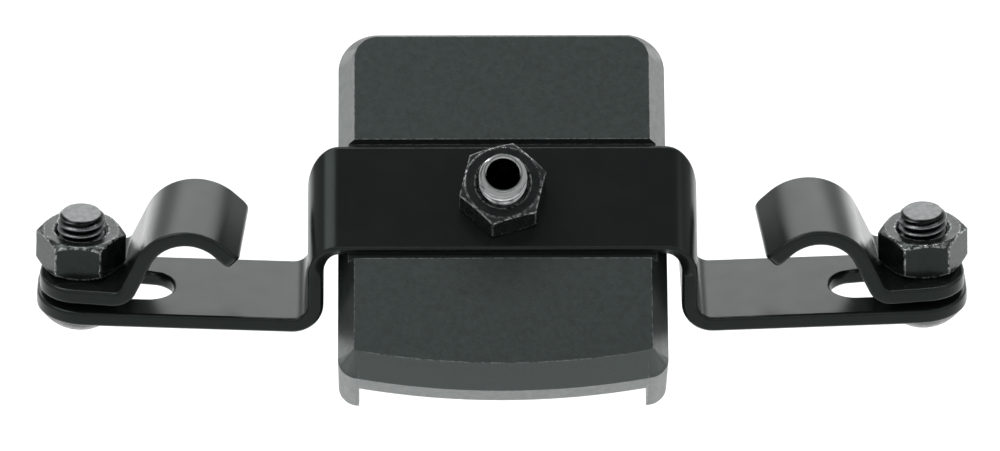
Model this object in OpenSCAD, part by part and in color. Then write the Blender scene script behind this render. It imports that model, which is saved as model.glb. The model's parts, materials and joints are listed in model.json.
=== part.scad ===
// Saddle rail light mount. A bent steel strap bolts under the two rails of a bicycle saddle with a
// hooked clamp at each end, and carries a plastic adapter for a rear light on its tilted middle.
// X runs across the saddle, Y along the rails and Z up. The origin is on the left rail's centre line.
// Millimetres and degrees.

/* [Strap] */
// Thickness of the strap and clamp sheet
sheet = 1.6; // [1.2:0.1:2.5]
// Width of the two slotted wings
wing_w = 12.4; // [12:0.1:16]
// Width of the tilted middle
seat_w = 11.4; // [9:0.1:12]
// Gap between each leg and the light adapter
leg_gap = 1.48; // [0.6:0.02:6]
// Length of a wing from its bend to the tip
wing_len = 26.1; // [25.5:0.1:40]
// Corner radius at the tip of a wing
wing_end_r = 5; // [3:0.1:6]
// Rise of a wing toward its tip
wing_rise = 2.2; // [0:0.1:5]
// Inner radius of all four bends
bend_r = 1.6; // [1:0.1:2.5]
// Height of a leg above its bend before its edges start to turn
leg_foot = 0.4; // [0.2:0.1:1]
// Tilt of the middle toward the rear light's side
seat_tilt = 39; // [20:1:45]
// Height of the middle's underside above the wings
seat_lift = 12.2; // [11.5:0.1:20]
// Distance of the middle's centre in front of the wings' centre line
seat_back = 1; // [0:0.1:2]
// Extra width that the front edge gains in the upper bend
front_flare = 1.9; // [0:0.1:2.5]
// Width that the rear edge loses in the upper bend
rear_round = 2.9; // [0:0.1:3.5]

/* [Slots and clamps] */
// Length of strap from the bend to the near end of a slot
slot_from = 12.1; // [10:0.1:13]
// Distance of a bolt from the bend
bolt_at = 21.7; // [21.5:0.1:22]
// Rail diameter the clamps are made for
rail_d = 7; // [7:0.1:8]
// Slack between the rail and the hook's bore, on the radius
rail_slack = 0.25; // [0.1:0.05:0.3]
// Slack under the rail before the clamp is tightened
rail_lift = 0.1; // [0.05:0.05:0.5]
// Width of a clamp along the rail
clamp_w = 12; // [10:0.1:14]
// Distance from the bolt to the hook's centre line
hook_reach = 11.45; // [11.2:0.05:12]
// Lean of the riser between flange and hook
riser_lean = 23; // [15:1:30]
// Angle of the hook's tip above the rail's centre
tip_angle = 26; // [15:1:30]
// Gap between flange and wing, set by the neck of the bolt
flange_gap = 0.8; // [0.4:0.1:1.2]
// Inner radius at the foot of the riser
foot_r = 1; // [0.8:0.1:1.5]
// Length of flange beyond the bolt
flange_end = 4; // [3.5:0.1:4.3]
// Corner radius at the end of the flange
flange_end_r = 4.2; // [3:0.1:5]
// Corner radius at the hook's tip
tip_corner_r = 1.1; // [0.5:0.1:1.5]
// Toe-in of the clamps, which follows rails that close toward the rear
toe_in = 4; // [0:1:5]

/* [Fasteners] */
// Diameter over the threads
thread_d = 4.9; // [4.8:0.05:5]
// Nut width across flats
nut_af = 8; // [7.8:0.1:8.2]
// Nut height
nut_h = 3.9; // [3.5:0.1:4.7]
// Thread that stands out of an end nut
bolt_proud = 1.9; // [1:0.1:3]
// Thread that stands out of the middle nut
stud_proud = 2.4; // [1:0.1:3]
// Width of the square neck under a bolt's head
neck_w = 5; // [4.9:0.05:5.1]
// Diameter of a bolt's domed head
head_d = 10.8; // [10:0.1:12]
// Height of a bolt's domed head
head_h = 3.2; // [2.5:0.1:3.5]
// Height of the straight rim of a bolt's head
head_rim = 0.6; // [0.4:0.1:1]
// Diameter of a nut's flat face
nut_face_d = 7.7; // [7.2:0.1:7.8]
// Depth of the countersinks of a nut
nut_sink = 0.35; // [0.2:0.05:0.5]
// Chamfer at the end of a thread
thread_chamfer = 0.5; // [0.3:0.05:0.6]
// Bore of the hollow middle stud
stud_bore_d = 3.4; // [2.5:0.1:3.5]
// Depth of the hollow in the middle stud
stud_bore_depth = 8; // [4:0.5:10]
// Height of the middle stud's hexagonal head
stud_head_h = 3; // [2.5:0.1:3.5]
// Turn of the middle nut from square to the strap
seat_nut_turn = 16.5; // [0:0.5:30]
// Turn of the end nuts
end_nut_turn = 2.5; // [0:0.5:30]

/* [Light adapter] */
// Width of the textured panel
panel_w = 30.1; // [26:0.1:31]
// Length of the panel along its centre
panel_len = 35.8; // [30:0.1:45]
// Radius of the arc that ends the panel at the front
panel_arc_r = 80; // [60:1:200]
// Radius of the panel's rear corners
panel_corner_r = 2.4; // [1.5:0.1:4]
// Radius of the panel's front corners
front_corner_r = 0.4; // [0.2:0.1:1]
// How far the sloping flanks spread
flank_out = 1.67; // [1:0.01:2]
// Height of the sloping flanks
flank_h = 3.5; // [2.5:0.1:4.5]
// Depth of the upright walls under the flanks
skirt_h = 7.8; // [6:0.1:10]
// Height of upright wall left above the front notch
notch_above = 2.7; // [2:0.1:4]
// Width of the front notch
notch_w = 29.2; // [24:0.1:29.5]
// How far behind the panel's front edge the notch is cut
notch_back = 3; // [2.5:0.1:3.5]
// Depth of the cross groove that seats the strap
groove_depth = 1.3; // [0.8:0.1:1.4]
// Play between the strap and each side of the groove
groove_play = 0.8; // [0.4:0.1:1.2]
// Wall thickness
wall = 1.8; // [1.5:0.1:2]
// Thickness of the floor under the groove
floor_t = 1.6; // [1.4:0.1:2]
// Outer diameter of the boss that holds the stud
boss_d = 13; // [12:0.5:16]
// Thickness of the two ribs beside the boss
rib_t = 1.4; // [1:0.1:2]
// Depth of the ribs below the floor
rib_drop = 2; // [1:0.1:3]
// Depth of the light's guide rails below the floor
guide_drop = 5; // [4.5:0.1:5.5]
// Width of the light's guide rails
guide_w = 1.6; // [1.2:0.1:2]
// Thickness of the light's guide rails
guide_t = 1.3; // [1:0.1:1.6]
// Distance of the guide rails from the panel's front edge
guide_front = 4; // [3.5:0.1:8]
// Distance of the guide rails from the panel's rear edge
guide_rear = 2; // [0:0.1:8]

/* [Clearances] */
// Running clearance of a nut on its thread, on the radius
thread_fit = 0.05; // [0.02:0.01:0.1]
// Play of a bolt's neck in its slot, each side
neck_play = 0.2; // [0.1:0.05:0.3]
// Play of a thread in a plain hole, on the radius
hole_play = 0.25; // [0.15:0.05:0.4]
// Gap under a nut that turns
nut_gap = 0.05; // [0.02:0.01:0.1]

/* [Hidden] */

$fn = 96;
eps = 0.01;
bend_steps = 18;

skirt_w = panel_w + 2 * flank_out;
bend_out = bend_r + sheet;
leg_x = skirt_w / 2 + leg_gap + sheet;
hook_r = rail_d / 2 + rail_slack;
hook_out = hook_r + sheet;
hook_up = hook_r + rail_lift;
slot_w = neck_w + 2 * neck_play;
slot_to = bolt_at + neck_w / 2 + neck_play;
hole_d = thread_d + 2 * hole_play;

// The foot of the riser rounds about this point of the clamp's section, seen from the bolt
foot_z = flange_gap + sheet + foot_r;
foot_run = (hook_up + (hook_out + foot_r) * sin(riser_lean) - foot_z) / cos(riser_lean);
foot_x = (hook_out + foot_r) * cos(riser_lean) + foot_run * sin(riser_lean) - hook_reach;

// Heights above a wing's underside at the bolt
neck_top = sheet + flange_gap;
nut_at = neck_top + sheet + nut_gap;
bolt_top = nut_at + nut_h + bolt_proud;

// Heights above the underside of the tilted middle
seat_nut_at = sheet + nut_gap;
stud_top = seat_nut_at + nut_h + stud_proud;
flank_foot = groove_depth - flank_h;
rim_z = flank_foot - skirt_h;
notch_top = flank_foot - notch_above;

rear_u = panel_len / 2;
arc_centre = panel_arc_r - panel_len / 2;
skirt_corner_r = front_corner_r + flank_out;
corner_x = panel_w / 2 - front_corner_r;
corner_y = arc_centre - sqrt(pow(panel_arc_r - front_corner_r, 2) - corner_x * corner_x);

// The rail's centre line on the right, seen from the middle of the strap
rail_x = leg_x + bend_r + (bolt_at - hook_reach * cos(toe_in)) * cos(wing_rise)
         - (sheet + hook_up - bend_out) * sin(wing_rise);
rail_y = -hook_reach * sin(toe_in);
rail_z = bend_out + (bolt_at - hook_reach * cos(toe_in)) * sin(wing_rise)
         + (sheet + hook_up - bend_out) * cos(wing_rise);

// Place of a point at u up the slope of the tilted middle and n above its underside
function seat_y(u, n) = -seat_back + u * cos(seat_tilt) - n * sin(seat_tilt);
function seat_z(u, n) = seat_lift + u * sin(seat_tilt) + n * cos(seat_tilt);

// Edges of the strap at angle a of an upper bend
function front_u(a) = -seat_w / 2 - front_flare * (1 - cos(a));
function rear_edge_u(a) = seat_w / 2 - rear_round * (1 - cos(a));

// FRAMES

module both_sides() {
    children();
    mirror([1, 0, 0]) children();
}

// Puts the left rail's centre line at the origin
module rail_frame() {
    translate([rail_x, -rail_y, -rail_z]) children();
}

// The underside of the tilted middle, with Y up its slope and Z out toward the nut
module seat_frame() {
    translate([0, -seat_back, seat_lift]) rotate([seat_tilt, 0, 0]) children();
}

// The underside of the right wing, with X out along it from the bend
module wing_frame() {
    translate([leg_x + bend_r, 0, bend_out])
        rotate([0, -wing_rise, 0])
            translate([0, 0, -bend_out]) children();
}

// The bolt's axis at the underside of the wing on either side
module bolt_frame(side) {
    mirror([side < 0 ? 1 : 0, 0, 0])
        wing_frame()
            translate([bolt_at, 0, 0]) children();
}

// STRAP

// Front view of a sheet bent about the origin. One straight run ends at angle a1 of the bend and
// another starts at a2, less than 180 degrees further on.
module bent_sheet(r_in, a1, a2, run1, run2) {
    r_out = r_in + sheet;
    reach = 2 * r_out;
    difference() {
        union() {
            circle(r_out);
            rotate(a1) translate([0, -run1]) square([r_out, run1]);
            if (run2 > 0)
                rotate(a2) square([r_out, run2]);
        }
        circle(r_in);
        // Hollow side of each run, and what the circle leaves past its end
        rotate(a1) translate([-reach, -run1 - reach]) {
            square([reach + r_in, run1 + reach]);
            square([2 * reach, reach]);
        }
        rotate(a2) translate([-reach, 0]) {
            square([reach + r_in, run2 + reach]);
            translate([0, run2]) square([2 * reach, reach]);
        }
    }
}

// Plan of a tongue that ends at x = end with rounded corners
module tongue(from, end, width, corner) {
    translate([from, -width / 2]) square([end - corner - from, width]);
    translate([end - corner - eps, -width / 2 + corner]) square([corner + eps, width - 2 * corner]);
    for (y = [-1, 1])
        translate([end - corner, y * (width / 2 - corner)]) circle(corner);
}

// What is left outside the tongue's rounded corners, as a cutter of the given height
module tongue_end_cut(end, width, corner, height) {
    difference() {
        translate([end - corner, -width, 0]) cube([2 * corner, 2 * width, height]);
        translate([0, 0, -1])
            linear_extrude(height + 2) tongue(end - 2 * corner, end, width, corner);
    }
}

// Slot with a round end near the leg and a square end that keys the bolt's neck
module slot_plan(from, to, width) {
    translate([from + width / 2, -width / 2]) square([to - from - width / 2, width]);
    translate([from + width / 2, 0]) circle(d = width);
}

// Front view of the right wing, its bend and the foot of its leg
module wing_section() {
    translate([leg_x + bend_r, bend_out])
        bent_sheet(bend_r, 180, 270 + wing_rise, leg_foot, wing_len);
}

module wing() {
    difference() {
        translate([0, wing_w / 2, 0])
            rotate([90, 0, 0])
                linear_extrude(wing_w) wing_section();
        wing_frame()
            translate([0, 0, -sheet]) {
                tongue_end_cut(wing_len, wing_w, wing_end_r, 3 * sheet);
                linear_extrude(3 * sheet) slot_plan(slot_from, slot_to, slot_w);
            }
    }
}

// Corners of the strap's section at angle a of an upper bend, 0 at the middle and 90 at the leg
function bend_point(side, a, r, u) =
    [side * (leg_x - bend_out + r * sin(a)), seat_y(u, r * cos(a) - bend_r), seat_z(u, r * cos(a) - bend_r)];
function bend_section(side, a) =
    [bend_point(side, a, bend_out, front_u(a)), bend_point(side, a, bend_out, rear_edge_u(a)),
     bend_point(side, a, bend_r, rear_edge_u(a)), bend_point(side, a, bend_r, front_u(a))];

// Corners of a leg's section at height z, as wide as the wing
function foot_section(side, z) =
    [[side * leg_x, -wing_w / 2, z], [side * leg_x, wing_w / 2, z],
     [side * (leg_x - sheet), wing_w / 2, z], [side * (leg_x - sheet), -wing_w / 2, z]];

// Legs, upper bends and tilted middle in one band, whose edges turn with the blank's outline
module band() {
    angles = [for (i = [0 : bend_steps]) 90 * i / bend_steps];
    feet = [bend_out + leg_foot / 2, bend_out + leg_foot];
    sections = [for (z = feet) foot_section(-1, z),
                for (i = [0 : bend_steps]) bend_section(-1, angles[bend_steps - i]),
                for (a = angles) bend_section(1, a),
                for (i = [1, 0]) foot_section(1, feet[i])];
    points = [for (quad = sections) for (p = quad) p];
    last = 4 * (len(sections) - 1);
    sides = [for (i = [0 : len(sections) - 2]) for (k = [0 : 3]) for (f = [0, 1])
                f == 0 ? [4 * i + k, 4 * i + (k + 1) % 4, 4 * i + 4 + k]
                       : [4 * i + 4 + k, 4 * i + (k + 1) % 4, 4 * i + 4 + (k + 1) % 4]];
    polyhedron(points, concat([[3, 2, 1, 0], [last, last + 1, last + 2, last + 3]], sides));
}

module strap() {
    color("#1b1d1c")
        rail_frame() {
            both_sides() wing();
            difference() {
                band();
                seat_frame() translate([0, 0, -1]) cylinder(h = sheet + 2, d = hole_d);
            }
        }
}

// RAIL CLAMPS

// Side view of a clamp from the bolt's axis at x = 0, with y up from the top of the wing
module clamp_section() {
    translate([-hook_reach, hook_up])
        bent_sheet(hook_r, riser_lean, 180 - tip_angle, foot_run * 2 / 3, 0);
    translate([foot_x, foot_z])
        bent_sheet(foot_r, 180 + riser_lean, 270, foot_run * 2 / 3, flange_end - foot_x);
}

// Cuts a sharp corner of the hook's tip to a radius
module tip_corner_cut() {
    translate([0, 0, -sheet])
        difference() {
            cube([2 * tip_corner_r, 2 * tip_corner_r, 3 * sheet]);
            translate([0, 0, -sheet]) cylinder(h = 5 * sheet, r = tip_corner_r);
        }
}

module rail_clamp(side) {
    color("#1b1d1c")
        rail_frame()
            bolt_frame(side)
                translate([0, 0, sheet])
                    rotate([0, 0, toe_in])
                        difference() {
                            translate([0, clamp_w / 2, 0])
                                rotate([90, 0, 0])
                                    linear_extrude(clamp_w) clamp_section();
                            cylinder(h = 2 * neck_top, d = hole_d);
                            tongue_end_cut(flange_end, clamp_w, flange_end_r, 2 * sheet + flange_gap);
                            // Rounded corners of the tip
                            translate([-hook_reach, 0, hook_up])
                                rotate([0, tip_angle - 90, 0])
                                    for (y = [0, 1])
                                        mirror([0, y, 0])
                                            translate([tip_corner_r, clamp_w / 2 - tip_corner_r, hook_r])
                                                mirror([1, 0, 0]) tip_corner_cut();
                        }
}

// FASTENERS

// Threaded shank from z = 0 with a chamfered end
module shank(length) {
    cylinder(h = length - thread_chamfer, d = thread_d);
    translate([0, 0, length - thread_chamfer])
        cylinder(h = thread_chamfer, d1 = thread_d, d2 = thread_d - 2 * thread_chamfer);
}

// Hexagon with both faces chamfered at 30 degrees
module hex_body(height) {
    face_r = nut_face_d / 2;
    blank_r = nut_af / sqrt(3) + 0.2;
    chamfer = (blank_r - face_r) * tan(30);
    intersection() {
        cylinder(h = height, d = 2 * nut_af / sqrt(3), $fn = 6);
        rotate_extrude()
            polygon([[0, 0], [face_r, 0], [blank_r, chamfer], [blank_r, height - chamfer],
                     [face_r, height], [0, height]]);
    }
}

module nut(turn) {
    rotate([0, 0, turn])
        difference() {
            hex_body(nut_h);
            translate([0, 0, -1]) cylinder(h = nut_h + 2, r = thread_d / 2 + thread_fit);
            translate([0, 0, -nut_sink])
                cylinder(h = 2 * nut_sink, r1 = thread_d / 2 + 2 * nut_sink, r2 = thread_d / 2);
            translate([0, 0, nut_h - nut_sink])
                cylinder(h = 2 * nut_sink, r1 = thread_d / 2, r2 = thread_d / 2 + 2 * nut_sink);
        }
}

// Domed head below z = 0
module dome_head() {
    cap = head_h - head_rim;
    cap_r = (head_d * head_d / 4 + cap * cap) / (2 * cap);
    translate([0, 0, -head_rim]) cylinder(h = head_rim, d = head_d);
    intersection() {
        translate([0, 0, cap_r - head_h]) sphere(cap_r);
        translate([0, 0, -head_h]) cylinder(h = cap, d = head_d);
    }
}

module carriage_bolt(side) {
    color("#3a3d3e")
        rail_frame()
            bolt_frame(side) {
                dome_head();
                translate([-neck_w / 2, -neck_w / 2, -eps]) cube([neck_w, neck_w, neck_top + eps]);
                shank(bolt_top);
            }
}

module end_nut(side) {
    color("#151616")
        rail_frame()
            bolt_frame(side)
                translate([0, 0, nut_at]) nut(end_nut_turn);
}

module center_stud() {
    color("#b9bec0")
        rail_frame()
            seat_frame()
                difference() {
                    translate([0, 0, -floor_t]) {
                        translate([0, 0, -stud_head_h]) hex_body(stud_head_h);
                        shank(stud_top + floor_t);
                    }
                    translate([0, 0, stud_top - stud_bore_depth])
                        cylinder(h = stud_bore_depth + 1, d = stud_bore_d);
                }
}

module center_nut() {
    color("#151616")
        rail_frame()
            seat_frame()
                translate([0, 0, seat_nut_at]) nut(seat_nut_turn);
}

// LIGHT ADAPTER

// Plan of the adapter, grown by a given amount from the panel's outline
module adapter_plan(grow) {
    half = panel_w / 2 + grow;
    rear = rear_u + grow;
    r = panel_corner_r + grow;
    intersection() {
        union() {
            translate([-half, -panel_len]) square([2 * half, panel_len + rear - r]);
            translate([-half + r, -panel_len]) square([2 * (half - r), panel_len + rear]);
            for (x = [-1, 1])
                translate([x * (half - r), rear - r]) circle(r);
        }
        translate([0, arc_centre]) circle(panel_arc_r + grow, $fn = 360);
    }
}

// Removes the sharp corner outside a cone that stands at the origin and widens downward
module flank_corner_cut(r_top) {
    reach = 2 * (r_top + flank_out);
    difference() {
        translate([0, 0, flank_foot - eps]) cube([reach, reach, flank_h + 2 * eps]);
        translate([0, 0, flank_foot - 2 * eps])
            cylinder(h = flank_h + 4 * eps, r1 = r_top + flank_out, r2 = r_top);
    }
}

// Sloping top of the housing, from the panel out to the upright walls
module flanks() {
    half = panel_w / 2;
    difference() {
        intersection() {
            translate([0, rear_u + flank_out, 0])
                rotate([90, 0, 0])
                    linear_extrude(panel_len + 3 * flank_out)
                        polygon([[-half - flank_out, flank_foot], [half + flank_out, flank_foot],
                                 [half, groove_depth], [-half, groove_depth]]);
            rotate([90, 0, 90])
                translate([0, 0, -half - 2 * flank_out])
                    linear_extrude(panel_w + 4 * flank_out)
                        polygon([[-panel_len, flank_foot], [rear_u + flank_out, flank_foot],
                                 [rear_u, groove_depth], [-panel_len, groove_depth]]);
            translate([0, arc_centre, flank_foot])
                cylinder(h = flank_h, r1 = panel_arc_r + flank_out, r2 = panel_arc_r, $fn = 360);
        }
        for (m = [0, 1])
            mirror([m, 0, 0]) {
                translate([half - panel_corner_r, rear_u - panel_corner_r, 0])
                    flank_corner_cut(panel_corner_r);
                translate([corner_x, corner_y, 0])
                    mirror([0, 1, 0]) flank_corner_cut(front_corner_r);
            }
    }
}

// Upright walls, with the front corners rounded to match the flanks
module skirt() {
    translate([0, 0, rim_z])
        linear_extrude(skirt_h)
            difference() {
                adapter_plan(flank_out);
                for (m = [0, 1])
                    mirror([m, 0])
                        translate([corner_x, corner_y])
                            difference() {
                                translate([0, -2 * skirt_corner_r]) square(2 * skirt_corner_r);
                                circle(skirt_corner_r);
                            }
            }
}

// Hollow behind the panel, open toward the light
module cavity() {
    translate([0, 0, rim_z - 1])
        linear_extrude(-floor_t - rim_z + 1)
            adapter_plan(flank_out - wall);
}

module ribs() {
    for (y = [-1, 1])
        translate([-panel_w / 2, y * boss_d / 2 - rib_t / 2, -floor_t - rib_drop])
            cube([panel_w, rib_t, rib_drop + eps]);
    translate([0, 0, -floor_t - stud_head_h]) cylinder(h = stud_head_h + eps, d = boss_d);
}

// Two ledges along the side walls that a light slides onto
module guides() {
    both_sides()
        translate([skirt_w / 2 - wall - guide_w, -panel_len / 2 + guide_front, -floor_t - guide_drop])
            cube([guide_w + eps, panel_len - guide_front - guide_rear, guide_t]);
}

module adapter_housing() {
    color("#2c2f2e")
        rail_frame()
            seat_frame()
                difference() {
                    union() {
                        difference() {
                            union() {
                                flanks();
                                skirt();
                            }
                            cavity();
                        }
                        intersection() {
                            union() {
                                ribs();
                                guides();
                            }
                            translate([0, 0, rim_z]) linear_extrude(skirt_h + flank_h) adapter_plan(0.5);
                        }
                    }
                    // Seat for the strap
                    translate([-skirt_w, -seat_w / 2 - groove_play, 0])
                        cube([2 * skirt_w, seat_w + 2 * groove_play, 2 * groove_depth]);
                    // Hole for the stud and pocket for its head
                    translate([0, 0, -floor_t - 1]) cylinder(h = 2 * floor_t + 2, d = hole_d);
                    translate([0, 0, -floor_t - 2 * stud_head_h])
                        cylinder(h = 2 * stud_head_h, d = (nut_af + 0.2) * 2 / sqrt(3), $fn = 6);
                    // Notch between the front feet
                    translate([-notch_w / 2, -panel_len, rim_z - 1])
                        cube([notch_w, panel_len / 2 + notch_back, notch_top - rim_z + 1]);
                }
}

// ASSEMBLY

strap();
adapter_housing();
center_stud();
center_nut();
rail_clamp(-1);  // left_clamp
rail_clamp(1);  // right_clamp
carriage_bolt(-1);  // left_bolt
carriage_bolt(1);  // right_bolt
end_nut(-1);  // left_nut
end_nut(1);  // right_nut
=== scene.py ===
import json
import math

import bmesh
import bpy
from mathutils import Matrix, Vector


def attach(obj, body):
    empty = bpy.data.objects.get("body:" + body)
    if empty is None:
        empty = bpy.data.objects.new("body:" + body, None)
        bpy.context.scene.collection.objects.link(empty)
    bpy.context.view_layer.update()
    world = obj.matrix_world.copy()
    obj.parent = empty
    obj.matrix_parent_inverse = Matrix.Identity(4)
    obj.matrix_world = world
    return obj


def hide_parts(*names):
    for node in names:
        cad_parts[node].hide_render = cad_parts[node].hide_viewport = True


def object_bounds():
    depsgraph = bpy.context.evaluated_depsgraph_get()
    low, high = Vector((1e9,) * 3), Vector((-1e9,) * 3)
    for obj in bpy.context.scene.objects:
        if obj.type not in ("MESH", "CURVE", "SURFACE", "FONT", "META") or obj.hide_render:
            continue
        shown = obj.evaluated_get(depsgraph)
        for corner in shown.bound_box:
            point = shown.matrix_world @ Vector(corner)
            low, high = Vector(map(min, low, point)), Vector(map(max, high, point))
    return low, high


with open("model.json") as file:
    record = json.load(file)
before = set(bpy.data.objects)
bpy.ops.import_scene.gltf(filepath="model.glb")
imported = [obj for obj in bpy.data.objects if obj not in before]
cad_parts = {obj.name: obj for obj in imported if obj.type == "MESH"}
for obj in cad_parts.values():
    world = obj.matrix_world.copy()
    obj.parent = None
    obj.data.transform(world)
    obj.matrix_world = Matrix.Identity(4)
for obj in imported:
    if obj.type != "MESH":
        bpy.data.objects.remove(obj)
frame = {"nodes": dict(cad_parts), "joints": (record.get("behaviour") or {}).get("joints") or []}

# Looks of a saddle rail light mount. Metres, in the CAD part's own frame.

START_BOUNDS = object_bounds()
MM = 0.001
X_AXIS = Vector((1, 0, 0))

# Camera, worked out from the photograph: the point it looks at, its turns, distance and scale
VIEW_AIM = Vector((31.584, 0.799, -4.243)) * MM
VIEW_ELEVATION = math.radians(29.0)
VIEW_AZIMUTH = math.radians(0.7)
VIEW_ROLL = 0.0035
VIEW_DISTANCE = 0.75
PHOTO_WIDTH, PHOTO_HEIGHT = 1000, 451
PIXELS_PER_METRE = 9760.0
AIM_PIXEL = (502.0, 289.0)
SENSOR = 36.0

# Floor, square and well below the object, with a light lying just above it
FLOOR_DROP = 110 * MM
FLOOR_HALF = 3.0
GLOW_LIFT = 5 * MM

# Rounding of the CAD pieces' edges
SHEET_EDGE = 0.36 * MM
PLASTIC_EDGE = 0.22 * MM
NUT_EDGE = 0.11 * MM
WELD_DISTANCE = 0.002 * MM
FLAT_ANGLE = 0.6
EDGE_ANGLE = 20

# Threads: share of a pitch that a crest takes each way from its middle, and share of the slope below it
PITCH = 0.8 * MM
THREAD_DEPTH = 0.43 * MM
CREST_SHARE = 0.14
SLOPE_SHARE = 0.66
ROWS_PER_TURN = 10
TURN_SEGMENTS = 72
END_ZONE = 1.2 * MM

# Bolts, on the bolt's axis from the joint's origin
WING_UNDER = -3 * MM
NECK_HALF = 2.5 * MM
NECK_HEIGHT = 2.4 * MM
HEAD_RADIUS = 4.3 * MM
HEAD_RIM = 0.6 * MM
HEAD_CORNER = 0.12 * MM
DOME_STEPS = 14
BOLT_CHAMFER = 0.5 * MM

# Stud: hexagonal head, bore with a small mouth, and drill point at the bottom
STUD_HEX_RADIUS = 8 / math.sqrt(3) * MM
STUD_HEAD_HEIGHT = 3 * MM
STUD_BORE = 1.7 * MM
STUD_BORE_DEPTH = 8 * MM
STUD_POINT = 0.9 * MM
STUD_MOUTH = 0.14 * MM
STUD_CHAMFER = 0.48 * MM

# Clamp as the photograph shows it, in its own side view: bolt's axis at x = 0, wing's top at z = 0
SHEET = 1.6 * MM
WING_TOP = -1.4 * MM
HOOK_RADIUS = 4.05 * MM
HOOK_UP = 4.25 * MM
HOOK_REACH = 11.4 * MM
HOOK_LEAN = 23
LIP_ANGLE = 49
LIP_LENGTH = 2.2 * MM
LIP_CORNER = 1.1 * MM
CLAMP_WIDTH = 12.0 * MM
FLANGE_LIFT = 0.8 * MM
FLANGE_END = 4.0 * MM
FLANGE_CORNER = 4.2 * MM
FOOT_RADIUS = 1.0 * MM
TOE_IN = 4
FLANGE_STEPS = 12
FOOT_STEPS = 10
HOOK_STEPS = 44
LIP_STEPS = 8
EDGE_STEPS = 4
END_THINNING = 0.7

# Finish of the pieces that are made here
MERGE_DISTANCE = 0.0005 * MM
SPLIT_ANGLE = 34

# Colours, linear
COOL = (0.85, 1.0, 0.965)
COAT_DARK = (0.0042, 0.0052, 0.0049)
COAT_PALE = (0.0058, 0.0070, 0.0066)
# Edge colours below: wear along the edges and a painted highlight there
COAT_WEAR_HIGHLIGHT = (0.085, 0.094, 0.091)
PLASTIC_DARK = (0.0050, 0.0068, 0.0063)
PLASTIC_PALE = (0.0150, 0.0185, 0.0175)
PLASTIC_WEAR_HIGHLIGHT = (0.12, 0.13, 0.13)
OXIDE_DARK = (0.004, 0.005, 0.005)
OXIDE_PALE = (0.010, 0.011, 0.011)
OXIDE_WEAR_HIGHLIGHT = (0.56, 0.59, 0.58)
# Painted shade for thread roots, the stud's bore and the bolt head below the wing
THREAD_PAINTED_SHADE = (0.012, 0.013, 0.013)
BOLT_DARK = (0.12, 0.125, 0.13)
BOLT_PALE = (0.24, 0.25, 0.255)
# Painted shade: the bolt's end face is given a darker colour
BOLT_END_SHADE = (0.095, 0.100, 0.100)
STUD_DARK = (0.14, 0.145, 0.15)
STUD_PALE = (0.82, 0.83, 0.84)
# Painted shade: the stud's end is given a darker colour
STUD_END_SHADE = (0.36, 0.37, 0.37)
FLOOR_WHITE = (0.95, 0.95, 0.95)
WALL_GREY = (0.75, 0.75, 0.75)
CEILING_GREY = (0.35, 0.35, 0.35)

# How far wear and painted highlight reach in from an edge
COAT_WEAR_HIGHLIGHT_WIDTH = 0.45 * MM
PLASTIC_WEAR_HIGHLIGHT_WIDTH = 0.20 * MM
NUT_WEAR_HIGHLIGHT_WIDTH = 0.26 * MM

# Lights that look at the camera's aim: name, place, width and depth, power
LIGHTS = (
    ("key", (-0.45, -0.10, 0.75), (0.5, 0.5), 2.5),
    ("top", (0.03, 0.16, 0.62), (0.7, 0.06), 1.7),
    ("fill", (0.7, -0.3, 0.5), (0.6, 0.4), 0.7),
    ("edge", (0.03, -0.69, 0.58), (0.8, 0.10), 0.8),
    ("rear", (0.03, 0.9, 0.55), (1.2, 0.34), 3.8),
    ("rim_left", (VIEW_AIM.x - 0.217, 0.22, -0.05), (0.25, 0.12), 0.125),
    ("rim_right", (VIEW_AIM.x + 0.217, 0.22, -0.05), (0.25, 0.12), 0.125),
)


# Node helpers

def new_material(name):
    material = bpy.data.materials.new(name)
    material.use_nodes = True
    tree = material.node_tree
    return material, tree, tree.nodes["Principled BSDF"]


def add_node(tree, kind, **inputs):
    node = tree.nodes.new(kind)
    for key, value in inputs.items():
        node.inputs[key.replace("_", " ")].default_value = value
    return node


def noise(tree, scale, detail=4.0, roughness=0.5):
    coords = tree.nodes.new("ShaderNodeTexCoord")
    texture = add_node(tree, "ShaderNodeTexNoise", Scale=scale, Detail=detail, Roughness=roughness)
    tree.links.new(coords.outputs["Object"], texture.inputs["Vector"])
    return texture.outputs["Fac"]


def ramp(tree, value, low, high, stops):
    """Colours by value: low and high are places on the ramp, stops their two colours."""
    node = tree.nodes.new("ShaderNodeValToRGB")
    first, last = node.color_ramp.elements
    first.position, last.position = low, high
    first.color, last.color = [(*c, 1.0) for c in stops]
    tree.links.new(value, node.inputs["Fac"])
    return node.outputs["Color"]


def map_range(tree, value, from_low, from_high, to_low, to_high):
    node = add_node(tree, "ShaderNodeMapRange", From_Min=from_low, From_Max=from_high,
                    To_Min=to_low, To_Max=to_high)
    tree.links.new(value, node.inputs["Value"])
    return node.outputs["Result"]


def spread(tree, value, low, high):
    """Maps a 0.3 to 0.7 noise value to the range low to high."""
    return map_range(tree, value, 0.3, 0.7, low, high)


def band(tree, value, low, high):
    """0 below low, 1 above high, a straight rise between."""
    return map_range(tree, value, low, high, 0.0, 1.0)


def bump(tree, shader, relief, distance, strength):
    node = add_node(tree, "ShaderNodeBump", Distance=distance, Strength=strength)
    tree.links.new(relief, node.inputs["Height"])
    tree.links.new(node.outputs["Normal"], shader.inputs["Normal"])


def blend(tree, factor, first, second):
    """Mixes two colours, each a socket or a triple, by a factor socket."""
    node = tree.nodes.new("ShaderNodeMix")
    node.data_type = "RGBA"
    tree.links.new(factor, node.inputs["Factor"])
    for slot, colour in ((6, first), (7, second)):
        if isinstance(colour, tuple):
            node.inputs[slot].default_value = (*colour, 1.0)
        else:
            tree.links.new(colour, node.inputs[slot])
    return node.outputs[2]


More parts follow.
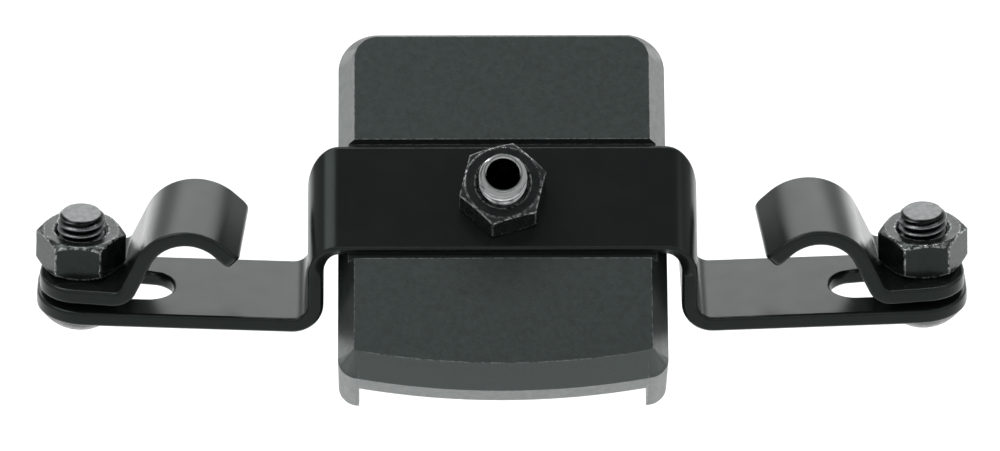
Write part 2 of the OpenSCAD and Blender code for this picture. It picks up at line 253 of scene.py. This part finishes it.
def math_node(tree, operation, first, second):
    """Result of an operation on two values, each a socket or a number."""
    node = tree.nodes.new("ShaderNodeMath")
    node.operation = operation
    for slot, value in enumerate((first, second)):
        if isinstance(value, float):
            node.inputs[slot].default_value = value
        else:
            tree.links.new(value, node.inputs[slot])
    return node.outputs[0]


def height(tree):
    """Distance along the piece's own Z axis."""
    coords = tree.nodes.new("ShaderNodeTexCoord")
    parts = tree.nodes.new("ShaderNodeSeparateXYZ")
    tree.links.new(coords.outputs["Object"], parts.inputs["Vector"])
    return parts.outputs["Z"]


def radial(tree):
    """Distance from the piece's own Z axis."""
    coords = tree.nodes.new("ShaderNodeTexCoord")
    flat = tree.nodes.new("ShaderNodeVectorMath")
    flat.operation = "MULTIPLY"
    flat.inputs[1].default_value = (1.0, 1.0, 0.0)
    tree.links.new(coords.outputs["Object"], flat.inputs[0])
    length = tree.nodes.new("ShaderNodeVectorMath")
    length.operation = "LENGTH"
    tree.links.new(flat.outputs["Vector"], length.inputs[0])
    return length.outputs["Value"]


def worn_and_highlit_edges(tree, width, scale, low, high):
    """Edge wear and painted highlight: 1 along edges, broken up by noise, and 0 on open faces: low and
    high are turns of the normal.
    """
    rounded = tree.nodes.new("ShaderNodeBevel")
    rounded.samples = 6
    rounded.inputs["Radius"].default_value = width
    surface = tree.nodes.new("ShaderNodeNewGeometry")
    dot = tree.nodes.new("ShaderNodeVectorMath")
    dot.operation = "DOT_PRODUCT"
    tree.links.new(rounded.outputs["Normal"], dot.inputs[0])
    tree.links.new(surface.outputs["Normal"], dot.inputs[1])
    turned = math_node(tree, "SUBTRACT", 1.0, dot.outputs["Value"])
    edge = band(tree, turned, low, high)
    broken = band(tree, noise(tree, scale, detail=3.0), 0.40, 0.62)
    return math_node(tree, "MULTIPLY", edge, broken)


def tint_highlights(shader, level):
    """Strength of the highlights, in the photograph's cool tone."""
    shader.inputs["Specular IOR Level"].default_value = level
    shader.inputs["Specular Tint"].default_value = (*COOL, 1.0)


# Materials

def coated_steel():
    """Black satin coat with faint orange peel, thinned by wear along the edges and lightened there as a
    painted highlight.
    """
    material, tree, shader = new_material("coated_steel")
    film = ramp(tree, noise(tree, 160.0), 0.35, 0.7, [COAT_DARK, COAT_PALE])
    wear_and_highlight = worn_and_highlit_edges(tree, COAT_WEAR_HIGHLIGHT_WIDTH, scale=900.0, low=0.02, high=0.12)
    roughness = spread(tree, noise(tree, 500.0), low=0.22, high=0.26)
    # Edges take a lighter colour: wear, and a painted highlight
    tree.links.new(blend(tree, wear_and_highlight, film, COAT_WEAR_HIGHLIGHT), shader.inputs["Base Color"])
    tree.links.new(roughness, shader.inputs["Roughness"])
    tint_highlights(shader, 0.24)
    bump(tree, shader, noise(tree, 2600.0, detail=2.0), distance=0.006 * MM, strength=0.2)
    return material


def grained_plastic():
    """Moulded dark grey plastic with a fine spark-eroded grain, polished along the edges and lightened
    there as a painted highlight.
    """
    material, tree, shader = new_material("grained_plastic")
    grain = noise(tree, 5200.0, detail=3.0, roughness=0.6)
    tone = ramp(tree, grain, 0.3, 0.75, [PLASTIC_DARK, PLASTIC_PALE])
    wear_and_highlight = worn_and_highlit_edges(tree, PLASTIC_WEAR_HIGHLIGHT_WIDTH, scale=2200.0, low=0.006, high=0.04)
    roughness = spread(tree, noise(tree, 1500.0), low=0.34, high=0.42)
    # Edges take a lighter colour: wear, and a painted highlight
    tree.links.new(blend(tree, wear_and_highlight, tone, PLASTIC_WEAR_HIGHLIGHT), shader.inputs["Base Color"])
    tree.links.new(roughness, shader.inputs["Roughness"])
    tint_highlights(shader, 0.68)
    bump(tree, shader, grain, distance=0.02 * MM, strength=0.45)
    return material


def gloss_black():
    """Black oxide nut, glossy, with bright specks along its chamfers: bare metal from wear and a
    painted highlight.
    """
    material, tree, shader = new_material("gloss_black")
    oxide = ramp(tree, noise(tree, 700.0), 0.35, 0.75, [OXIDE_DARK, OXIDE_PALE])
    wear_and_highlight = worn_and_highlit_edges(tree, NUT_WEAR_HIGHLIGHT_WIDTH, scale=2600.0, low=0.0015, high=0.012)
    roughness = spread(tree, noise(tree, 1600.0), low=0.18, high=0.30)
    # Chamfer edges take a bright colour: bare metal from wear, and a painted highlight
    tree.links.new(blend(tree, wear_and_highlight, oxide, OXIDE_WEAR_HIGHLIGHT), shader.inputs["Base Color"])
    tree.links.new(roughness, shader.inputs["Roughness"])
    tree.links.new(wear_and_highlight, shader.inputs["Metallic"])
    tint_highlights(shader, 0.3)
    bump(tree, shader, noise(tree, 3200.0, detail=3.0), distance=0.012 * MM, strength=0.35)
    return material


def threaded_steel(name, radius, foot, top, end, colours, low, high):
    """Plated thread with painted shade: dark in its roots, in a hollow and below the foot, bright on
    crests.

    The end is what lies within that depth of the top, and its colour is painted shade. Colours are tip,
    dark and pale, and low and high the roughness.
    """
    tip, dark, pale = colours
    material, tree, shader = new_material(name)
    stain = ramp(tree, noise(tree, 1100.0), 0.3, 0.75, [dark, pale])
    crest = band(tree, radial(tree), radius - 0.75 * THREAD_DEPTH, radius - 0.1 * THREAD_DEPTH)
    above_foot = band(tree, height(tree), foot - 0.05 * MM, foot)
    # Painted shade: roots, the bore and all below the foot take a near-black colour
    thread = blend(tree, math_node(tree, "MULTIPLY", crest, above_foot), THREAD_PAINTED_SHADE, stain)
    # Painted shade: the end takes the darker tip colour
    at_end = band(tree, height(tree), top - 1.2 * end, top - end)
    tree.links.new(blend(tree, at_end, thread, tip), shader.inputs["Base Color"])
    tree.links.new(spread(tree, noise(tree, 1500.0), low, high), shader.inputs["Roughness"])
    shader.inputs["Metallic"].default_value = 1.0
    bump(tree, shader, noise(tree, 2600.0, detail=3.0), distance=0.010 * MM, strength=0.35)
    return material


def paint(obj, material):
    obj.data.materials.clear()
    obj.data.materials.append(material)


# CAD pieces that are shown, with their sharp edges rounded

def soften(node, material, edge, segments=3, clamp=True):
    obj = frame["nodes"][node]
    paint(obj, material)
    weld = obj.modifiers.new("weld", "WELD")
    weld.merge_threshold = WELD_DISTANCE
    merge = obj.modifiers.new("flat_faces", "DECIMATE")
    merge.decimate_type = "DISSOLVE"
    merge.angle_limit = math.radians(FLAT_ANGLE)
    bevel = obj.modifiers.new("edge", "BEVEL")
    bevel.width = edge
    bevel.segments = segments
    bevel.limit_method = "ANGLE"
    bevel.angle_limit = math.radians(EDGE_ANGLE)
    bevel.use_clamp_overlap = clamp
    weight_normals(obj)


def weight_normals(obj):
    obj.modifiers.new("shading", "WEIGHTED_NORMAL").keep_sharp = False


# Pieces made here, on a joint's axis, and then put where the CAD piece is

def joint(name):
    return next(j for j in frame["joints"] if j["name"] == name)


def joint_frame(name):
    """Matrix that carries local Z to a joint's axis, with local X as near the row's X as it can be."""
    row = joint(name)
    up = Vector(row["axis"]).normalized()
    side = (X_AXIS - X_AXIS.dot(up) * up).normalized()
    across = up.cross(side)
    turn = Matrix((side, across, up)).transposed().to_4x4()
    return Matrix.Translation(Vector(row["pos_m"])) @ turn


def heights(node, place):
    """Lowest and highest point of a CAD node along a frame's Z, and its largest radius near the top."""
    inverse = place.inverted()
    points = [inverse @ v.co for v in frame["nodes"][node].data.vertices]
    low, high = min(p.z for p in points), max(p.z for p in points)
    top = [p for p in points if p.z > high - END_ZONE]
    return low, high, max(math.hypot(p.x, p.y) for p in top)


def finish_piece(mesh, name, place, material, body, node, rounded=False):
    """Makes the piece. Its edges are split where they are sharp, unless it is rounded already."""
    bmesh.ops.remove_doubles(mesh, verts=mesh.verts, dist=MERGE_DISTANCE)
    bmesh.ops.recalc_face_normals(mesh, faces=mesh.faces)
    data = bpy.data.meshes.new(name)
    mesh.to_mesh(data)
    mesh.free()
    obj = bpy.data.objects.new(name, data)
    bpy.context.scene.collection.objects.link(obj)
    obj.matrix_world = place
    data.shade_smooth()
    if rounded:
        weight_normals(obj)
    else:
        obj.modifiers.new("shading", "EDGE_SPLIT").split_angle = math.radians(SPLIT_ANGLE)
    paint(obj, material)
    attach(obj, body)
    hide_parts(node)


# Mesh helpers

def add_ring(mesh, radius, z, count, turn=0.0):
    ring = []
    for i in range(count):
        angle = turn + 2 * math.pi * i / count
        ring.append(mesh.verts.new((radius * math.cos(angle), radius * math.sin(angle), z)))
    return ring


def add_lathe(mesh, profile):
    """Turns a profile of (radius, height) points about Z. A point on the axis stays one point."""
    rings = []
    for radius, z in profile:
        if radius < MERGE_DISTANCE:
            rings.append([mesh.verts.new((0, 0, z))])
        else:
            rings.append(add_ring(mesh, radius, z, TURN_SEGMENTS))
    for lower, upper in zip(rings, rings[1:]):
        for i in range(TURN_SEGMENTS):
            k = (i + 1) % TURN_SEGMENTS
            corners = [lower[i % len(lower)], lower[k % len(lower)]]
            corners += [upper[k % len(upper)], upper[i % len(upper)]]
            corners = [c for n, c in enumerate(corners) if c not in corners[:n]]
            if len(corners) > 2:
                mesh.faces.new(corners)


def add_prism(mesh, sides, radius, low, high, turn=0.0):
    """Upright prism with that many sides."""
    bottom = add_ring(mesh, radius, low, sides, turn)
    top = add_ring(mesh, radius, high, sides, turn)
    mesh.faces.new(reversed(bottom))
    mesh.faces.new(top)
    for i in range(sides):
        k = (i + 1) % sides
        mesh.faces.new((bottom[i], bottom[k], top[k], top[i]))


def thread_radius(phase, radius):
    """Radius of a thread at a phase from 0 to 1 along one pitch, crest at 0.5."""
    slope = abs(2 * phase - 1)
    return radius - THREAD_DEPTH * min(1.0, max(0.0, (slope - CREST_SHARE) / SLOPE_SHARE))


def add_thread(mesh, low, high, radius, chamfer):
    """Helical thread from low to high. It is open at both ends: other parts close or cover them."""
    step = PITCH / ROWS_PER_TURN
    rows = int((high - low) / step) + 2 * ROWS_PER_TURN
    columns = []
    for i in range(TURN_SEGMENTS):
        turn = i / TURN_SEGMENTS
        angle = 2 * math.pi * turn
        column = []
        for j in range(rows + 1):
            z = low - PITCH + j * step + PITCH * turn
            z = min(max(z, low), high)
            r = thread_radius((j / ROWS_PER_TURN) % 1.0, radius)
            r = min(r, radius - chamfer + (high - z))
            column.append(mesh.verts.new((r * math.cos(angle), r * math.sin(angle), z)))
        columns.append(column)
    for i, column in enumerate(columns):
        last = i == TURN_SEGMENTS - 1
        after = columns[0] if last else columns[i + 1]
        shift = ROWS_PER_TURN if last else 0
        for j in range(rows - shift):
            mesh.faces.new((column[j], after[j + shift], after[j + 1 + shift], column[j + 1]))


# Clamps

def arc(x, z, radius, start, stop, steps, facing):
    """Side view points of an arc about x, z. Their normals face away from it (1) or towards it (-1)."""
    points = []
    for i in range(steps + 1):
        angle = start + (stop - start) * i / steps
        across, up = math.cos(angle), math.sin(angle)
        points.append((x + radius * across, z + radius * up, facing * across, facing * up))
    return points


def clamp_path():
    """Outer face in side view, from the flange's end to the lip, as rows of a point and its normal."""
    lean = math.radians(HOOK_LEAN)
    out = HOOK_RADIUS + SHEET
    foot_z = FLANGE_LIFT + SHEET + FOOT_RADIUS
    run = (HOOK_UP + (out + FOOT_RADIUS) * math.sin(lean) - foot_z) / math.cos(lean)
    foot_x = (out + FOOT_RADIUS) * math.cos(lean) + run * math.sin(lean) - HOOK_REACH
    path = []
    for i in range(FLANGE_STEPS):
        drawn_in = 1 - math.cos(math.radians(90 / FLANGE_STEPS * i))
        path.append((FLANGE_END - FLANGE_CORNER * drawn_in, FLANGE_LIFT + SHEET, 0.0, 1.0))
    foot_start, foot_stop = math.radians(270), math.radians(180) + lean
    path += arc(foot_x, foot_z, FOOT_RADIUS, foot_start, foot_stop, FOOT_STEPS, facing=-1)
    hook_stop = math.radians(180 - LIP_ANGLE)
    path += arc(-HOOK_REACH, HOOK_UP, out, lean, hook_stop, HOOK_STEPS, facing=1)
    x, z, across, up = path[-1]
    for i in range(LIP_STEPS + 1):
        drawn_in = 1 - math.sin(math.radians(90 / LIP_STEPS * i))
        along = LIP_LENGTH - LIP_CORNER * drawn_in
        path.append((x - up * along, z + across * along, across, up))
    return path


def corner_half_width(corner, distance):
    """Half the clamp's width at a distance from an end with rounded corners."""
    short = max(0.0, corner - distance)
    return CLAMP_WIDTH / 2 - corner + math.sqrt(max(0.0, corner ** 2 - short ** 2))


def sheet_outline(half, end):
    """Rounded section of the sheet as (across, depth) points, drawn in near the sheet's end."""
    short = max(0.0, SHEET_EDGE - end)
    inset = SHEET_EDGE - math.sqrt(SHEET_EDGE ** 2 - short ** 2)
    radius = SHEET_EDGE - END_THINNING * inset
    points = []
    for quarter in range(4):
        across = (half - inset - radius) * (1 if quarter in (0, 3) else -1)
        depth = SHEET / 2 + (SHEET / 2 - inset - radius) * (1 if quarter in (0, 1) else -1)
        for k in range(EDGE_STEPS + 1):
            angle = math.radians(90 * quarter + 90 / EDGE_STEPS * k)
            points.append((across + radius * math.cos(angle), depth + radius * math.sin(angle)))
    return points


def path_lengths(path):
    """Length of the path up to each of its points."""
    lengths = [0.0]
    for a, b in zip(path, path[1:]):
        lengths.append(lengths[-1] + math.hypot(b[0] - a[0], b[1] - a[1]))
    return lengths


def make_clamp(side, material):
    """Bent sheet clamp with the photograph's wider hook and its straight lip."""
    node = side + "_clamp"
    outward = -1.0 if side == "left" else 1.0
    turn = math.radians(TOE_IN) * outward
    path = clamp_path()
    lengths = path_lengths(path)
    mesh = bmesh.new()
    rings = []
    for (x, z, across, up), before in zip(path, lengths):
        after = lengths[-1] - before
        half = min(corner_half_width(FLANGE_CORNER, before), corner_half_width(LIP_CORNER, after))
        ring = []
        for w, depth in sheet_outline(half, min(before, after)):
            px = (x - across * depth) * outward
            pz = z - up * depth + WING_TOP
            ring.append(mesh.verts.new((px * math.cos(turn) - w * math.sin(turn),
                                        px * math.sin(turn) + w * math.cos(turn), pz)))
        rings.append(ring)
    for a, b in zip(rings, rings[1:]):
        for k in range(len(a)):
            m = (k + 1) % len(a)
            mesh.faces.new((a[k], a[m], b[m], b[k]))
    mesh.faces.new(rings[0])
    mesh.faces.new(reversed(rings[-1]))
    finish_piece(mesh, node + "_sheet", joint_frame(node + "_swing"), material,
                 node, node, rounded=True)


# Bolts and stud

def dome(low, cap):
    """Profile of a domed head from its lowest point up to its rim."""
    sphere = (HEAD_RADIUS ** 2 + cap ** 2) / (2 * cap)
    rises = [cap * (k / DOME_STEPS) ** 2 for k in range(DOME_STEPS + 1)]
    return [(math.sqrt(max(0.0, sphere ** 2 - (sphere - rise) ** 2)), low + rise) for rise in rises]


def make_bolt(side):
    """Domed head, square neck and threaded shank of one bolt."""
    node = side + "_bolt"
    place = joint_frame(side + "_nut_spin")
    low, high, radius = heights(node, place)
    neck_top = WING_UNDER + NECK_HEIGHT
    head = dome(low, WING_UNDER - low - HEAD_RIM)
    head += [(HEAD_RADIUS, WING_UNDER - HEAD_RIM), (HEAD_RADIUS, WING_UNDER - HEAD_CORNER),
             (HEAD_RADIUS - HEAD_CORNER, WING_UNDER), (0, WING_UNDER)]
    mesh = bmesh.new()
    add_lathe(mesh, head)
    add_prism(mesh, 4, NECK_HALF * math.sqrt(2), WING_UNDER, neck_top, math.pi / 4)
    add_thread(mesh, neck_top, high, radius, BOLT_CHAMFER)
    add_lathe(mesh, [(radius - BOLT_CHAMFER, high), (0, high)])
    # Below the wing the head is painted dark as shade
    material = threaded_steel(side + "_dark_steel", radius, WING_UNDER, high, end=0.06 * MM,
                              colours=(BOLT_END_SHADE, BOLT_DARK, BOLT_PALE), low=0.22, high=0.34)
    finish_piece(mesh, node + "_threaded", place, material, node, node)


def make_stud():
    """Hollow threaded stud with its hexagonal head inside the adapter."""
    node = "center_stud"
    place = joint_frame("center_nut_spin")
    low, high, radius = heights(node, place)
    head_top = low + STUD_HEAD_HEIGHT
    bottom = high - STUD_BORE_DEPTH
    mesh = bmesh.new()
    add_prism(mesh, 6, STUD_HEX_RADIUS, low, head_top)
    add_thread(mesh, head_top, high, radius, STUD_CHAMFER)
    add_lathe(mesh, [(radius - STUD_CHAMFER, high), (STUD_BORE + STUD_MOUTH, high),
                     (STUD_BORE, high - STUD_MOUTH), (STUD_BORE, bottom), (0, bottom - STUD_POINT)])
    # The end colour is painted shade
    material = threaded_steel("bright_steel", radius, low, high, end=0.50 * MM,
                              colours=(STUD_END_SHADE, STUD_DARK, STUD_PALE), low=0.06, high=0.14)
    finish_piece(mesh, node + "_threaded", place, material, "bracket", node)


# Stage, light and camera

def make_stage():
    """Wide pale floor under the object."""
    low = START_BOUNDS[0].z - FLOOR_DROP
    half = FLOOR_HALF
    mesh = bpy.data.meshes.new("floor")
    corners = [(-half, -half, low), (half, -half, low), (half, half, low), (-half, half, low)]
    mesh.from_pydata(corners, [], [(0, 1, 2, 3)])
    floor = bpy.data.objects.new("floor", mesh)
    bpy.context.scene.collection.objects.link(floor)
    material, _, shader = new_material("pale_floor")
    shader.inputs["Base Color"].default_value = (*FLOOR_WHITE, 1.0)
    shader.inputs["Roughness"].default_value = 0.9
    shader.inputs["Specular IOR Level"].default_value = 0.1
    paint(floor, material)


def make_world():
    """Bright low walls and a dimmer ceiling, as in a light tent."""
    world = bpy.data.worlds.new("studio")
    bpy.context.scene.world = world
    world.use_nodes = True
    tree = world.node_tree
    back = tree.nodes["Background"]
    coords = tree.nodes.new("ShaderNodeTexCoord")
    parts = tree.nodes.new("ShaderNodeSeparateXYZ")
    tree.links.new(coords.outputs["Generated"], parts.inputs["Vector"])
    colour = ramp(tree, parts.outputs["Z"], 0.35, 0.8, [WALL_GREY, CEILING_GREY])
    tree.links.new(colour, back.inputs["Color"])
    back.inputs["Strength"].default_value = 1.0


def area_light(name, at, size, power, aim):
    data = bpy.data.lights.new(name, "AREA")
    data.shape = "RECTANGLE"
    data.size, data.size_y = size
    data.energy = power
    lamp = bpy.data.objects.new(name, data)
    lamp.location = at
    lamp.rotation_euler = (Vector(aim) - Vector(at)).to_track_quat("-Z", "Y").to_euler()
    bpy.context.scene.collection.objects.link(lamp)


def make_lights():
    """Key and fill in front, a strip above, a low strip before the edges and a long box behind.

    A small box stands close by at each rear side, and a faint glow shines up from the floor.
    """
    for name, at, size, power in LIGHTS:
        area_light(name, at, size, power, VIEW_AIM)
    below = START_BOUNDS[0].z - FLOOR_DROP + GLOW_LIFT
    area_light("glow", (VIEW_AIM.x, 0.02, below), (0.30, 0.12), 0.09, (VIEW_AIM.x, 0.02, 0.0))


def make_camera():
    """The photograph's camera: shifted so that the aim falls on its pixel."""
    e, a = VIEW_ELEVATION, VIEW_AZIMUTH
    back = Vector((-math.sin(a) * math.cos(e), -math.cos(a) * math.cos(e), math.sin(e)))
    right = Vector((math.cos(a), -math.sin(a), 0.0))
    up = back.cross(right)
    c, s = math.cos(VIEW_ROLL), math.sin(VIEW_ROLL)
    right, up = right * c + up * s, up * c - right * s
    off_x = (AIM_PIXEL[0] - PHOTO_WIDTH / 2) / PIXELS_PER_METRE
    off_y = (PHOTO_HEIGHT / 2 - AIM_PIXEL[1]) / PIXELS_PER_METRE
    data = bpy.data.cameras.new("camera")
    data.sensor_width = SENSOR
    data.lens = PIXELS_PER_METRE * VIEW_DISTANCE / PHOTO_WIDTH * SENSOR
    data.clip_start, data.clip_end = 0.01, 20.0
    camera = bpy.data.objects.new("camera", data)
    place = Matrix((right, up, back)).transposed().to_4x4()
    place.translation = VIEW_AIM + back * VIEW_DISTANCE - right * off_x - up * off_y
    camera.matrix_world = place
    bpy.context.scene.collection.objects.link(camera)
    bpy.context.scene.camera = camera


steel = coated_steel()
plastic = grained_plastic()
black = gloss_black()
soften("strap", steel, SHEET_EDGE, clamp=False)
make_clamp("left", steel)
make_clamp("right", steel)
soften("adapter_housing", plastic, PLASTIC_EDGE)
for nut in ("center_nut", "left_nut", "right_nut"):
    soften(nut, black, NUT_EDGE, segments=2)
make_bolt("left")
make_bolt("right")
make_stud()

make_stage()
make_world()
make_lights()
make_camera()
bpy.context.scene.view_settings.view_transform = "Standard"
